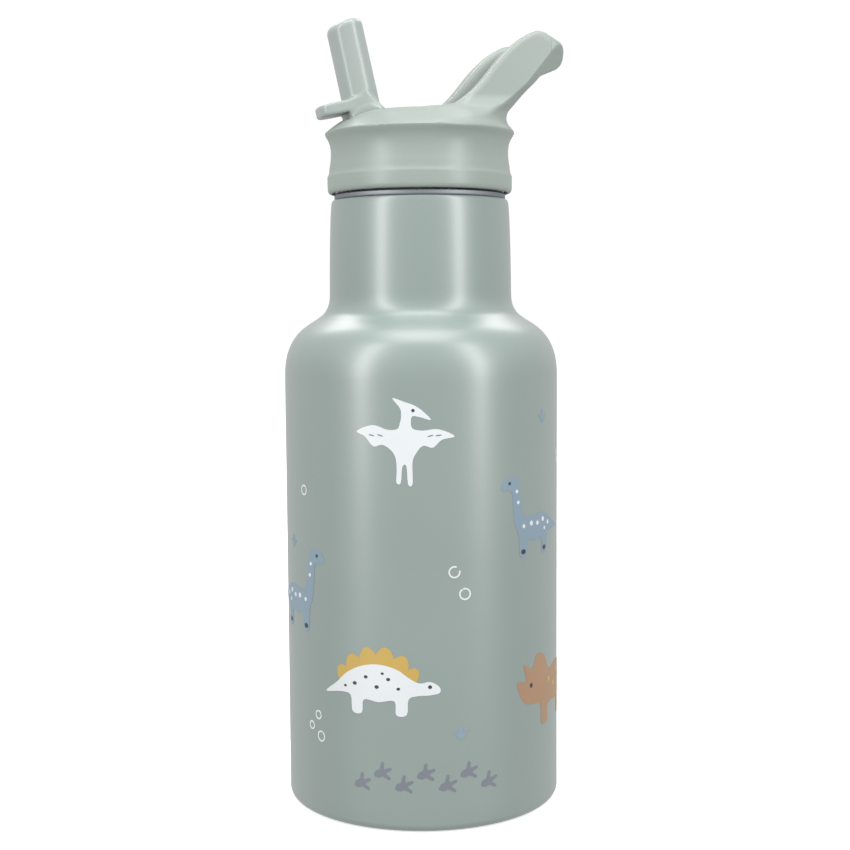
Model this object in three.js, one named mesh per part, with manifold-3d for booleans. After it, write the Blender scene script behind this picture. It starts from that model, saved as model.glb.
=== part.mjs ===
// Insulated straw bottle: double-wall steel flask, screw lid with carry loop,
// flip-up mouthpiece. Millimetres, +Z up, origin at the centre of the base plane.
import * as THREE from 'three';
import { mergeVertices } from 'three/addons/utils/BufferGeometryUtils.js';
import Module from 'manifold-3d';

const wasm = await Module();
wasm.setup();

// ---- driving dimensions ----
const BODY_R = 35.0;            // outer radius of the flask body
const WALL = 0.5;               // outer wall thickness
const LINER_WALL = 0.45;        // inner wall thickness
const NECK_TOP_Z = 153.3;       // top edge of the coated neck
const RIM_R = 21.8;             // outer radius of the bare mouth rim
const RIM_IN_R = 20.0;          // inner radius of the mouth
const RIM_TOP_Z = 155.0;
const LID_LIP_R = 24.05;        // widest radius of the lid
const LID_LIP_Z = 170.4;
const LID_TOP_Z = 175.6;
const SLOT_HALF = 6.0;          // mouthpiece slot, half width
const SLOT_X0 = -19.6, SLOT_X1 = 15.3, SLOT_FLOOR = 167.0;
const PIVOT_X = -14.0, PIVOT_Z = 172.0;
const LEAN = 12.4 * Math.PI / 180;   // open mouthpiece leans towards -X
const SPOUT_X = 9.0, SPOUT_Y = 11.0; // mouthpiece section
const SPOUT_LEN = 26.7;              // pivot to the top of the spout
const HUB_R = 4.55;
const CHANNEL_R = 2.2;
const PIN_R = 1.2, PIN_HOLE_R = 1.5;
const LOOP_HALF = 15.5, LOOP_INNER = 8.0, LOOP_END_X = 35.0, LOOP_BAR_X = 28.4;
const STRAW_X = -12.5, STRAW_R = 3.1, STRAW_BORE = 2.5, STRAW_Z0 = 9.0, STRAW_Z1 = 152.0;
const VENT_X = 8.0;
const SHOULDER_Z = 108.2, NECK_Z = 128.6, LINER_SHOULDER_Z = 106.2; // where the drawn bands of the two walls meet
const SEAM = 0.3;
const SEG = 32;

// ---- helpers ----
const V2 = (p) => new THREE.Vector2(p[0], p[1]);
function lathe(profile, seg = SEG) {
  // profile is [radius, z] pairs, counter-clockwise in the (r, z) plane
  let area = 0;
  for (let i = 0; i < profile.length; i++) {
    const a = profile[i], b = profile[(i + 1) % profile.length];
    area += a[0] * b[1] - b[0] * a[1];
  }
  const pts = (area > 0 ? profile : [...profile].reverse()).map(V2);
  pts.push(pts[0].clone());
  const g = new THREE.LatheGeometry(pts, seg);
  g.rotateX(Math.PI / 2);
  return g;
}
function solid(geometry) {
  let g = geometry.clone();
  g.deleteAttribute('normal');
  g.deleteAttribute('uv');
  g = mergeVertices(g, 1e-4);
  const idx = g.index.array, out = [];
  for (let i = 0; i < idx.length; i += 3) {
    if (idx[i] !== idx[i + 1] && idx[i + 1] !== idx[i + 2] && idx[i] !== idx[i + 2]) {
      out.push(idx[i], idx[i + 1], idx[i + 2]);
    }
  }
  let m = new wasm.Manifold(new wasm.Mesh({
    numProp: 3,
    vertProperties: new Float32Array(g.attributes.position.array),
    triVerts: new Uint32Array(out),
  }));
  if (m.volume() < 0) {
    for (let i = 0; i < out.length; i += 3) [out[i + 1], out[i + 2]] = [out[i + 2], out[i + 1]];
    m = new wasm.Manifold(new wasm.Mesh({
      numProp: 3,
      vertProperties: new Float32Array(g.attributes.position.array),
      triVerts: new Uint32Array(out),
    }));
  }
  return m;
}
function toGeometry(m) {
  const mesh = m.getMesh();
  const pos = new Float32Array(mesh.numVert * 3);
  for (let i = 0; i < mesh.numVert; i++) {
    for (let k = 0; k < 3; k++) pos[3 * i + k] = mesh.vertProperties[mesh.numProp * i + k];
  }
  const g = new THREE.BufferGeometry();
  g.setAttribute('position', new THREE.BufferAttribute(pos, 3));
  g.setIndex(new THREE.BufferAttribute(new Uint32Array(mesh.triVerts), 1));
  g.computeVertexNormals();
  return g;
}
function box(x0, x1, y0, y1, z0, z1) {
  const g = new THREE.BoxGeometry(x1 - x0, y1 - y0, z1 - z0);
  g.translate((x0 + x1) / 2, (y0 + y1) / 2, (z0 + z1) / 2);
  return g;
}
function cylZ(r, x, z0, z1, seg = 24) {
  const g = new THREE.CylinderGeometry(r, r, z1 - z0, seg);
  g.rotateX(Math.PI / 2);
  g.translate(x, 0, (z0 + z1) / 2);
  return g;
}
function cylY(r, x, z, y0, y1, seg = 20) {
  const g = new THREE.CylinderGeometry(r, r, y1 - y0, seg);
  g.translate(x, (y0 + y1) / 2, z);
  return g;
}
function prismXZ(points, half) {
  // side outline in (x, z), extruded symmetrically along Y
  const g = new THREE.ExtrudeGeometry(new THREE.Shape(points.map(V2)), { depth: 2 * half, bevelEnabled: false });
  g.translate(0, 0, -half);
  g.rotateX(Math.PI / 2);
  return g;
}
function prismXY(points, z0, z1) {
  const g = new THREE.ExtrudeGeometry(new THREE.Shape(points.map(V2)), { depth: z1 - z0, bevelEnabled: false });
  g.translate(0, 0, z0);
  return g;
}
function roundedRect(hx, hy, r, n = 5) {
  const pts = [];
  for (const [cx, cy, a0] of [[hx - r, hy - r, 0], [-(hx - r), hy - r, 90], [-(hx - r), -(hy - r), 180], [hx - r, -(hy - r), 270]]) {
    for (let i = 0; i <= n; i++) {
      const a = (a0 + 90 * i / n) * Math.PI / 180;
      pts.push([cx + r * Math.cos(a), cy + r * Math.sin(a)]);
    }
  }
  return pts;
}

function parallel(profile, t) {
  // the same wall line moved t towards the axis side
  const out = [];
  for (let i = 0; i < profile.length; i++) {
    const a = profile[Math.max(i - 1, 0)], b = profile[i], c = profile[Math.min(i + 1, profile.length - 1)];
    const n = [[a, b], [b, c]].filter(([p, q]) => p !== q).map(([p, q]) => {
      const l = Math.hypot(q[0] - p[0], q[1] - p[1]);
      return [-(q[1] - p[1]) / l, (q[0] - p[0]) / l];
    });
    const m = n.length === 2 ? [n[0][0] + n[1][0], n[0][1] + n[1][1]] : [n[0][0], n[0][1]];
    const l = Math.hypot(m[0], m[1]);
    const k = t / (l * (n[0][0] * m[0] + n[0][1] * m[1]) / l);
    out.push([b[0] + m[0] * k, b[1] + m[1] * k]);
  }
  return out;
}
function band(shell, z0, z1) {
  return shell.intersect(solid(box(-60, 60, -60, 60, z0, z1)));
}

const group = new THREE.Group();
function add(name, source, colour, roughness, metalness) {
  const geometry = source.isBufferGeometry ? toGeometry(solid(source)) : toGeometry(source);
  const mesh = new THREE.Mesh(geometry, new THREE.MeshStandardMaterial({ color: colour, roughness, metalness }));
  mesh.name = name;
  group.add(mesh);
}

// ---- flask ----
const foot = [[30.6, 1.2], [30.9, 0.35], [31.5, 0], [32.7, 0], [33.9, 0.35], [34.7, 1.15]];
const wall = [
  [BODY_R, 2.4], [BODY_R, 108], [34.7, 113], [33.5, 117], [32.0, 119.2],
  [29.9, 121.2], [27.0, 123.2], [24.65, 125.1], [23.55, 127.2], [23.3, 130],
  [22.75, 151], [22.2, NECK_TOP_Z],
];
const wallInside = parallel(wall, WALL);
wallInside[wallInside.length - 1] = [21.95, NECK_TOP_Z];
wallInside[0] = [BODY_R - WALL, 2.5];
const shellSolid = solid(lathe([...foot, ...wall, ...wallInside.reverse(), [33.7, 0.85], [32.6, 0.5], [31.3, 0.6], [31.0, 1.4]]));
// the shell in three bands: wall with its foot, shoulder, neck
add('outer_shell', band(shellSolid, -5, SHOULDER_Z - SEAM), 0x9caaa6, 0.45, 0.0);
add('outer_shoulder', band(shellSolid, SHOULDER_Z, NECK_Z - SEAM), 0x9caaa6, 0.45, 0.0);
add('outer_neck', band(shellSolid, NECK_Z, 200), 0x9caaa6, 0.45, 0.0);

const linerOut = [
  [0, 6.0], [28, 6.0], [31.2, 8.2], [32.0, 11.5], [32.0, 106],
  [30.8, 113.5], [28.6, 117.8], [22.8, 122.6], [20.6, 128.5],
  [20.5, 150.6], [21.3, 153.0], [RIM_R, 153.8], [RIM_R, 154.6], [21.4, RIM_TOP_Z],
];
const linerIn = [
  [20.5, RIM_TOP_Z], [RIM_IN_R, 154.4], [20.05, 128.4], [22.4, 122.2],
  [28.2, 117.4], [30.35, 113.3], [31.55, 105.9], [31.55, 11.55],
  [30.8, 8.5], [27.8, 6.45], [0, 6.45],
];
// internal thread: one and a half turns of round-backed ridge on the mouth wall
class Helix extends THREE.Curve {
  constructor(r, z0, pitch, turns) { super(); Object.assign(this, { r, z0, pitch, turns }); }
  getPoint(t, target = new THREE.Vector3()) {
    const a = 2 * Math.PI * this.turns * t;
    return target.set(this.r * Math.cos(a), this.r * Math.sin(a), this.z0 + this.pitch * this.turns * t);
  }
}
function ridge(r, z0, pitch, turns, size) {
  const s = new THREE.Shape();
  for (let i = 0; i < 5; i++) {
    const a = Math.PI * i / 2.5;
    const p = [size * Math.cos(a), size * Math.sin(a)];
    if (i === 0) s.moveTo(...p); else s.lineTo(...p);
  }
  s.closePath();
  return new THREE.ExtrudeGeometry(s, { steps: Math.round(22 * turns), bevelEnabled: false, extrudePath: new Helix(r, z0, pitch, turns) });
}
const linerSolid = solid(lathe([...linerOut, ...linerIn]))
  .add(solid(ridge(20.15, 144.2, 4.2, 1.5, 0.65)).subtract(solid(lathe([[20.3, 140], [24, 140], [24, 156], [20.3, 156]]))));
add('inner_liner', band(linerSolid, 0, LINER_SHOULDER_Z - SEAM), 0x9a9da0, 0.3, 1.0);
add('inner_shoulder', band(linerSolid, LINER_SHOULDER_Z, NECK_Z - SEAM), 0x9a9da0, 0.3, 1.0);
add('inner_neck', band(linerSolid, NECK_Z, 200), 0x9a9da0, 0.3, 1.0);

add('outer_bottom', lathe([[0, 2.8], [34.1, 2.8], [34.1, 3.3], [0, 3.3]]), 0x9a9da0, 0.4, 1.0);
add('base_cover', lathe([[0, 1.3], [22, 1.3], [25, 0.8], [30.2, 0.8], [30.2, 1.3], [25.2, 1.3], [22.2, 1.8], [0, 1.8]]), 0x9caaa6, 0.45, 0.0);
add('vacuum_seal', lathe([[0, 2.0], [1.6, 2.0], [1.9, 2.25], [1.6, 2.5], [0, 2.5]], 16), 0x8a8c8e, 0.5, 1.0);
const getter = lathe([[0, 3.8], [4.6, 3.8], [5, 4.2], [5, 5.1], [4.6, 5.5], [0, 5.5]], 20);
getter.translate(14, 0, 0);
add('getter', getter, 0x5d5f61, 0.8, 0.3);

// ---- seal ring between lid and mouth rim ----
add('main_gasket', lathe([[18.9, 155.3], [21.2, 155.3], [21.6, 155.7], [21.6, 158.6], [18.6, 158.6], [18.6, 155.6]]), 0xe8e8e4, 0.6, 0.0);

// ---- inner lid with the thread ----
const insertBody = solid(lathe([
  [0, 153], [16.8, 153], [16.8, 142.3], [17.0, 142], [17.4, 142], [17.6, 142.3], [17.6, 158.9],
  [21.9, 158.9], [21.9, 160.0], [21.0, 160.3], [21.0, 163.2], [0, 163.2],
]));
const insertSolid = insertBody
  .add(solid(ridge(17.45, 144.2, 4.2, 1.5, 0.6)).subtract(solid(cylZ(17.35, 0, 140, 160, SEG))))
  .subtract(solid(cylZ(3.2, STRAW_X, 150, 166)))
  .subtract(solid(cylZ(2.5, VENT_X, 150, 166)));
add('threaded_insert', insertSolid, 0xd9dcd8, 0.5, 0.0);

// ---- lid with its carry loop ----
const lidLathe = solid(lathe([
  [22.7, 159.7], [23.3, 159.7], [23.15, 161], [22.7, 163.5], [22.6, 165],
  [22.75, 167], [23.1, 168.2], [23.75, 169.4], [LID_LIP_R, LID_LIP_Z], [23.3, 171.0],
  [21.2, 172.5], [18.9, 173.85], [16.8, 174.75], [14.0, LID_TOP_Z], [0, LID_TOP_Z],
  [0, 163.6], [21.3, 163.6], [21.3, 160.5], [22.7, 160.2],
], 40));
add('lid_band', lathe([[22.7, 155.3], [22.9, 155.2], [23.1, 155.4], [23.5, 156.0], [23.5, 159.3], [23.4, 159.4], [22.7, 159.4]], 40), 0xaeb8b2, 0.5, 0.0);
const sideOutline = [
  [-0.1, 175.2], [2.7, 175.8], [5.3, 176.7], [8.0, 178.3], [10.9, 180.6], [13.0, 182.9], [14.9, 185.2], [16.8, 187.4],
  [18.7, 189.5], [21.1, 191.8], [23.5, 193.4], [25.6, 194.3], [27.6, 194.6], [29.2, 194.1], [31.2, 193.0], [33.4, 192.0],
  [34.7, 190.6], [LOOP_END_X, 189.4], [34.4, 187.3], [33.6, 186.0], [29.2, 184.5], [28.4, 183.9], [20, 176], [20, 168.5], [4, 170],
];
const planOutline = [[-2, -LOOP_HALF], [22, -LOOP_HALF], [27, -15.2], [30.8, -14.2], [33.4, -12.2], [34.6, -9.6], [LOOP_END_X, -6],
  [LOOP_END_X, 6], [34.6, 9.6], [33.4, 12.2], [30.8, 14.2], [27, 15.2], [22, LOOP_HALF], [-2, LOOP_HALF]];
// the back of the loop follows a flared surface round the lid axis
const flare = solid(lathe([
  [0, 168.6], [23.3, 168.6], [23.4, 170.4], [22.9, 171.3], [22.5, 172.2], [22.5, 173.6], [22.8, 175.0], [23.9, 176.6], [25.4, 178.3],
  [27.4, 180.2], [31.0, 182.6], [38, 185.5], [40, 200], [0, 200],
], 40));
let loop = solid(prismXZ([
  ...sideOutline.slice(0, 21), [27.4, 183.3], [24.8, 179.8], [23.4, 177.5], [22.8, 175.4], [22.9, 173.2], [22.9, 170.3], [4, 170.3],
], LOOP_HALF + 1))
  .intersect(solid(prismXY(planOutline, 165, 205)))
  .intersect(flare)
  .subtract(solid(box(-30, LOOP_BAR_X, -LOOP_INNER, LOOP_INNER, 160, 210)));
const pockets = solid(cylZ(20.2, 0, 163.0, 172.2, SEG)).subtract(solid(box(-30, 30, -SLOT_HALF - 2, SLOT_HALF + 2, 150, 180)));
const lidSolid = lidLathe.add(loop)
  .subtract(pockets)
  .subtract(solid(prismXY([[SLOT_X0, -SLOT_HALF], [SLOT_X1 - 2.5, -SLOT_HALF], [SLOT_X1 - 0.7, -SLOT_HALF + 0.7], [SLOT_X1, -SLOT_HALF + 2.5],
    [SLOT_X1, SLOT_HALF - 2.5], [SLOT_X1 - 0.7, SLOT_HALF - 0.7], [SLOT_X1 - 2.5, SLOT_HALF], [SLOT_X0, SLOT_HALF]], SLOT_FLOOR, 180)))
  .subtract(solid(cylZ(4.5, STRAW_X, 163, 168)))
  .subtract(solid(cylZ(1.0, VENT_X, 163, 168, 12)))
  .subtract(solid(cylY(PIN_HOLE_R, PIVOT_X, PIVOT_Z, -8.3, 8.3)));
add('lid_shell', lidSolid, 0xaeb8b2, 0.5, 0.0);

// ---- small lid parts ----
const sealRing = lathe([[2.7, 163.9], [4.2, 163.9], [4.2, 166.6], [3.9, 167.1], [3.0, 167.1], [2.7, 166.6]], 24);
sealRing.translate(STRAW_X, 0, 0);
add('spout_seal', sealRing, 0xdfe2df, 0.6, 0.0);
const connector = lathe([[3.35, 146], [4.0, 146], [4.0, 152.7], [2.9, 152.7], [2.9, 163.0], [2.0, 163.0], [2.0, 152.2], [3.35, 152.2]], 24);
connector.translate(STRAW_X, 0, 0);
add('straw_connector', connector, 0xdfe2df, 0.6, 0.0);
const strawTube = solid(lathe([[STRAW_BORE, STRAW_Z0], [STRAW_R, STRAW_Z0], [STRAW_R, STRAW_Z1], [STRAW_BORE, STRAW_Z1]], 20));
const cutter = box(-12, 12, -12, 12, -12, 0);
cutter.rotateY(0.55);
cutter.translate(0, 0, STRAW_Z0 + 2.0);
const strawSolid = toGeometry(strawTube.subtract(solid(cutter)));
strawSolid.translate(STRAW_X, 0, 0);
add('straw', strawSolid, 0xd4dad8, 0.35, 0.0);
const vent = lathe([[0, 150.4], [0.8, 150.4], [1.7, 152.0], [4.0, 152.3], [4.0, 152.8], [2.2, 152.9], [2.2, 163.0], [0, 163.0]], 20);
vent.translate(VENT_X, 0, 0);
add('air_vent_valve', vent, 0xdfe2df, 0.6, 0.0);
add('hinge_pin_left', cylY(PIN_R, PIVOT_X, PIVOT_Z, -7.8, -3.1, 16), 0xb4b6b8, 0.25, 1.0);
add('hinge_pin_right', cylY(PIN_R, PIVOT_X, PIVOT_Z, 3.1, 7.8, 16), 0xb4b6b8, 0.25, 1.0);

// ---- mouthpiece, drawn upright about its pivot then leaned open ----
const halfY = SPOUT_Y / 2, halfX = SPOUT_X / 2;
const stem = solid(prismXY(roundedRect(halfX, halfY, 3.6, 6), 0.5, SPOUT_LEN + 1))
  .intersect(solid(prismXZ([[-5, 0], [5, 0], [5, 24], [4.5, 25.7], [3.6, 26.4], [1.5, SPOUT_LEN], [-1.5, 26.3], [-3.6, 25.6], [-4.5, 24.8], [-5, 23.4]], 7)));
const hub = solid(cylY(HUB_R, 0, 0, -halfY, halfY, 28));
const tabPts = [[-2, -5.2], [-9.4, -5.2], [-10.7, -4.5], [-11.4, -3.0], [-11.4, 3.0], [-10.7, 4.5], [-9.4, 5.2], [-2, 5.2]];
const tab = solid(prismXY(tabPts, 3.9, 6.95));
const cheek = solid(prismXZ([[-4.2, 0.3], [4.2, 0.3], [4.55, 3.0], [3.5, 8.5], [-3.8, 6.95]], halfY));
const mouth = stem.add(hub).add(tab).add(cheek)
  .subtract(solid(cylZ(CHANNEL_R, 0, -8, 32, 20)))
  .subtract(solid(cylY(PIN_HOLE_R, 0, 0, -8, -2.9)))
  .subtract(solid(cylY(PIN_HOLE_R, 0, 0, 2.9, 8)));
const mouthGeo = toGeometry(mouth);
mouthGeo.rotateY(-LEAN);
mouthGeo.translate(PIVOT_X, 0, PIVOT_Z);
add('mouthpiece', mouthGeo, 0xb9c1bc, 0.45, 0.0);

export default group;
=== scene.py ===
import math
import bpy
import numpy as np
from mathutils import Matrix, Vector, geometry


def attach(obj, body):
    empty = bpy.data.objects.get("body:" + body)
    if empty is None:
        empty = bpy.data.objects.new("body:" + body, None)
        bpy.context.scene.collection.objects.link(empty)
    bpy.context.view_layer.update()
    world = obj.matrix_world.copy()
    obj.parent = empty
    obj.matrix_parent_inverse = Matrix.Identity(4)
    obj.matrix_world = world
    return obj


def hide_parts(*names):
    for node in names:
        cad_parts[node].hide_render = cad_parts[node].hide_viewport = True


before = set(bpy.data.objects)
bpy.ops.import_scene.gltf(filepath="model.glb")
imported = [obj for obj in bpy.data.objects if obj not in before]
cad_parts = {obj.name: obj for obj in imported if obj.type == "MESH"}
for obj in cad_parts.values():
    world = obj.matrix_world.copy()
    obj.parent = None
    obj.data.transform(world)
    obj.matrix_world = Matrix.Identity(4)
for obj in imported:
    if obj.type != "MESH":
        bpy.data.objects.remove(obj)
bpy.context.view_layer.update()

MM = 0.001
scene = bpy.context.scene


# ------------------------------------------------------------------ materials
def new_mat(name):
    m = bpy.data.materials.new(name)
    m.use_nodes = True
    nt = m.node_tree
    bsdf = next(n for n in nt.nodes if n.type == "BSDF_PRINCIPLED")
    return m, nt, bsdf


def node(nt, kind, **inputs):
    n = nt.nodes.new(kind)
    for k, v in inputs.items():
        n.inputs[k].default_value = v
    return n


def object_coords(nt, scale=(1, 1, 1)):
    tc = nt.nodes.new("ShaderNodeTexCoord")
    mp = nt.nodes.new("ShaderNodeMapping")
    mp.inputs["Scale"].default_value = scale
    nt.links.new(tc.outputs["Object"], mp.inputs["Vector"])
    return mp.outputs["Vector"]


def ramp(nt, fac, stops):
    r = nt.nodes.new("ShaderNodeValToRGB")
    e = r.color_ramp.elements
    e[0].position, e[0].color = stops[0][0], (*stops[0][1], 1)
    e[1].position, e[1].color = stops[-1][0], (*stops[-1][1], 1)
    for pos, col in stops[1:-1]:
        x = e.new(pos)
        x.color = (*col, 1)
    nt.links.new(fac, r.inputs["Fac"])
    return r.outputs["Color"]


def noise(nt, vec, scale, detail=2.0, rough=0.5):
    n = node(nt, "ShaderNodeTexNoise", Scale=scale, Detail=detail, Roughness=rough)
    nt.links.new(vec, n.inputs["Vector"])
    return n.outputs["Fac"]


def add_maths(nt, op, a, b):
    m = nt.nodes.new("ShaderNodeMath")
    m.operation = op
    for i, v in enumerate((a, b)):
        if isinstance(v, (int, float)):
            m.inputs[i].default_value = v
        else:
            nt.links.new(v, m.inputs[i])
    return m.outputs[0]


def bump(nt, height, strength, distance, bsdf):
    b = node(nt, "ShaderNodeBump", Strength=strength, Distance=distance)
    nt.links.new(height, b.inputs["Height"])
    nt.links.new(b.outputs["Normal"], bsdf.inputs["Normal"])
    return b


def tone(c, k):
    return tuple(min(1.0, x * k) for x in c)


def textured(name, colour, rough, *, metal=0.0, spread=0.05, mottle=60, grain=1500, grain_depth=0.00002,
             grain_strength=0.3, rough_spread=0.04, coat=0.0, coat_rough=0.2, spec=0.5, sss=0.0, stretch=(1, 1, 1)):
    """A fine-grained surface: soft colour mottle, roughness break-up and a micro texture."""
    m, nt, b = new_mat(name)
    v = object_coords(nt, stretch)
    cloud = noise(nt, v, mottle, 3.0)
    fine = noise(nt, v, grain, 2.0)
    both = add_maths(nt, "ADD", add_maths(nt, "MULTIPLY", cloud, 0.65), add_maths(nt, "MULTIPLY", fine, 0.35))
    nt.links.new(ramp(nt, both, [(0.3, tone(colour, 1 - spread)), (0.5, colour), (0.7, tone(colour, 1 + spread))]), b.inputs["Base Color"])
    r = nt.nodes.new("ShaderNodeMapRange")
    r.inputs["To Min"].default_value = max(0.02, rough - rough_spread)
    r.inputs["To Max"].default_value = rough + rough_spread
    nt.links.new(both, r.inputs["Value"])
    nt.links.new(r.outputs["Result"], b.inputs["Roughness"])
    b.inputs["Metallic"].default_value = metal
    b.inputs["Specular IOR Level"].default_value = spec
    b.inputs["Coat Weight"].default_value = coat
    b.inputs["Coat Roughness"].default_value = coat_rough
    if sss:
        b.inputs["Subsurface Weight"].default_value = sss
        b.inputs["Subsurface Radius"].default_value = (0.002, 0.002, 0.002)
    bump(nt, fine, grain_strength, grain_depth, b)
    return m


def srgb(r, g, b):
    return tuple(((c / 255 + 0.055) / 1.055) ** 2.4 if c > 10 else c / 255 / 12.92 for c in (r, g, b))


MAT = {
    "coat": textured("powder_coat", (0.218, 0.267, 0.250), 0.36, spread=0.025, mottle=40, grain=2600, grain_depth=0.00003, grain_strength=0.35, spec=0.5, coat=0.9, coat_rough=0.33),
    "lid": textured("lid_polypropylene", (0.273, 0.317, 0.291), 0.38, spread=0.02, mottle=50, grain=3200, grain_depth=0.00002, grain_strength=0.25, spec=0.45, sss=0.05),
    "spout": textured("mouthpiece_polypropylene", (0.312, 0.355, 0.337), 0.30, spread=0.015, mottle=70, grain=3600, grain_depth=0.000012, grain_strength=0.2, spec=0.5, sss=0.05),
    "insert": textured("insert_polypropylene", srgb(214, 218, 214), 0.45, spread=0.02, mottle=60, grain=3000, grain_strength=0.2, sss=0.08),
    "silicone": textured("silicone", srgb(222, 224, 220), 0.55, spread=0.03, mottle=90, grain=2000, grain_strength=0.2, sss=0.25),
    "print_white": textured("ink_white", srgb(206, 210, 212), 0.42, spread=0.03, mottle=60, grain=2600, grain_strength=0.3, grain_depth=0.00003),
    "print_blue": textured("ink_blue_grey", srgb(124, 143, 156), 0.42, spread=0.05, mottle=60, grain=2600, grain_strength=0.3, grain_depth=0.00003),
    "print_mustard": textured("ink_mustard", srgb(182, 152, 78), 0.42, spread=0.06, mottle=60, grain=2600, grain_strength=0.3, grain_depth=0.00003),
    "print_brown": textured("ink_brown", srgb(158, 126, 98), 0.42, spread=0.05, mottle=60, grain=2600, grain_strength=0.3, grain_depth=0.00003),
    "print_grey": textured("ink_grey", srgb(112, 117, 126), 0.42, spread=0.06, mottle=60, grain=2600, grain_strength=0.3, grain_depth=0.00003),
    "print_dark": textured("ink_charcoal", srgb(52, 56, 60), 0.42, spread=0.08, mottle=60, grain=2600, grain_strength=0.3, grain_depth=0.00003),
}


def steel(name, colour, rough, aniso=0.5, lines=(1, 1, 260)):
    m, nt, b = new_mat(name)
    v = object_coords(nt, lines)
    streak = noise(nt, v, 60, 4.0, 0.65)
    cloud = noise(nt, object_coords(nt), 90, 2.0)
    mix = add_maths(nt, "ADD", add_maths(nt, "MULTIPLY", streak, 0.75), add_maths(nt, "MULTIPLY", cloud, 0.25))
    nt.links.new(ramp(nt, mix, [(0.25, tone(colour, 0.86)), (0.5, colour), (0.75, tone(colour, 1.1))]), b.inputs["Base Color"])
    r = nt.nodes.new("ShaderNodeMapRange")
    r.inputs["To Min"].default_value = rough - 0.06
    r.inputs["To Max"].default_value = rough + 0.1
    nt.links.new(streak, r.inputs["Value"])
    nt.links.new(r.outputs["Result"], b.inputs["Roughness"])
    b.inputs["Metallic"].default_value = 1.0
    b.inputs["Anisotropic"].default_value = aniso
    bump(nt, streak, 0.15, 0.00003, b)
    return m


MAT["steel"] = steel("brushed_stainless", (0.25, 0.273, 0.290), 0.5)
MAT["pin"] = steel("polished_pin", (0.66, 0.67, 0.68), 0.2, 0.2, (1, 260, 1))
MAT["dull"] = textured("getter_alloy", (0.12, 0.12, 0.13), 0.7, metal=0.6, spread=0.2, mottle=400, grain=2500, grain_strength=0.5)


def clear_plastic():
    m, nt, b = new_mat("straw_polypropylene")
    v = object_coords(nt)
    cloud = noise(nt, v, 120, 2.0)
    nt.links.new(ramp(nt, cloud, [(0.3, (0.72, 0.76, 0.75)), (0.7, (0.82, 0.85, 0.84))]), b.inputs["Base Color"])
    b.inputs["Roughness"].default_value = 0.28
    b.inputs["Transmission Weight"].default_value = 0.35
    b.inputs["IOR"].default_value = 1.49
    bump(nt, noise(nt, v, 1500, 2.0), 0.1, 0.00002, b)
    return m


MAT["straw"] = clear_plastic()


# ------------------------------------------------------------------ mesh helpers
def make(name, verts, faces, mat, body, replaces=(), smooth_angle=35.0, mats=None, face_mats=None):
    me = bpy.data.meshes.new(name)
    me.from_pydata([tuple(v) for v in verts], [], [tuple(f) for f in faces])
    me.update()
    for mm in (mats or [mat]):
        me.materials.append(mm)
    if face_mats is not None:
        me.polygons.foreach_set("material_index", np.asarray(face_mats, dtype=np.int32))
    me.polygons.foreach_set("use_smooth", [True] * len(me.polygons))
    me.set_sharp_from_angle(angle=math.radians(smooth_angle))
    ob = bpy.data.objects.new(name, me)
    scene.collection.objects.link(ob)
    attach(ob, body)
    if replaces:
        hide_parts(*replaces)
    return ob


def fillet(points, radii, closed=True, n=5):
    """Rounds the corners of a polyline. radii is a number or {index: radius}."""
    pts = [np.array(p, float) for p in points]
    out = []
    m = len(pts)
    for i, p in enumerate(pts):
        r = radii.get(i, 0) if isinstance(radii, dict) else radii
        if not closed and i in (0, m - 1) or r <= 0:
            out.append(p)
            continue
        a, c = pts[i - 1], pts[(i + 1) % m]
        u, w = a - p, c - p
        lu, lw = np.linalg.norm(u), np.linalg.norm(w)
        u, w = u / lu, w / lw
        ang = math.acos(float(np.clip(u @ w, -1, 1)))
        if ang > math.pi - 0.02:
            out.append(p)
            continue
        d = min(r / math.tan(ang / 2), 0.49 * lu, 0.49 * lw)
        rr = d * math.tan(ang / 2)
        bis = (u + w) / np.linalg.norm(u + w)
        cen = p + bis * rr / math.sin(ang / 2)
        s, e = p + u * d - cen, p + w * d - cen
        a0, a1 = math.atan2(s[1], s[0]), math.atan2(e[1], e[0])
        da = (a1 - a0 + math.pi) % (2 * math.pi) - math.pi
        for k in range(n + 1):
            t = a0 + da * k / n
            out.append(cen + rr * np.array([math.cos(t), math.sin(t)]))
    return out


def catmull(points, per=6):
    """A smooth open curve through the points."""
    p = np.array(points, float)
    p = np.vstack([2 * p[0] - p[1], p, 2 * p[-1] - p[-2]])
    out = []
    for i in range(1, len(p) - 2):
        for k in range(per):
            t = k / per
            a, b, c, d = p[i - 1], p[i], p[i + 1], p[i + 2]
            out.append(0.5 * (2 * b + (c - a) * t + (2 * a - 5 * b + 4 * c - d) * t * t + (3 * b - a - 3 * c + d) * t ** 3))
    out.append(p[-2])
    return out


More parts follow.
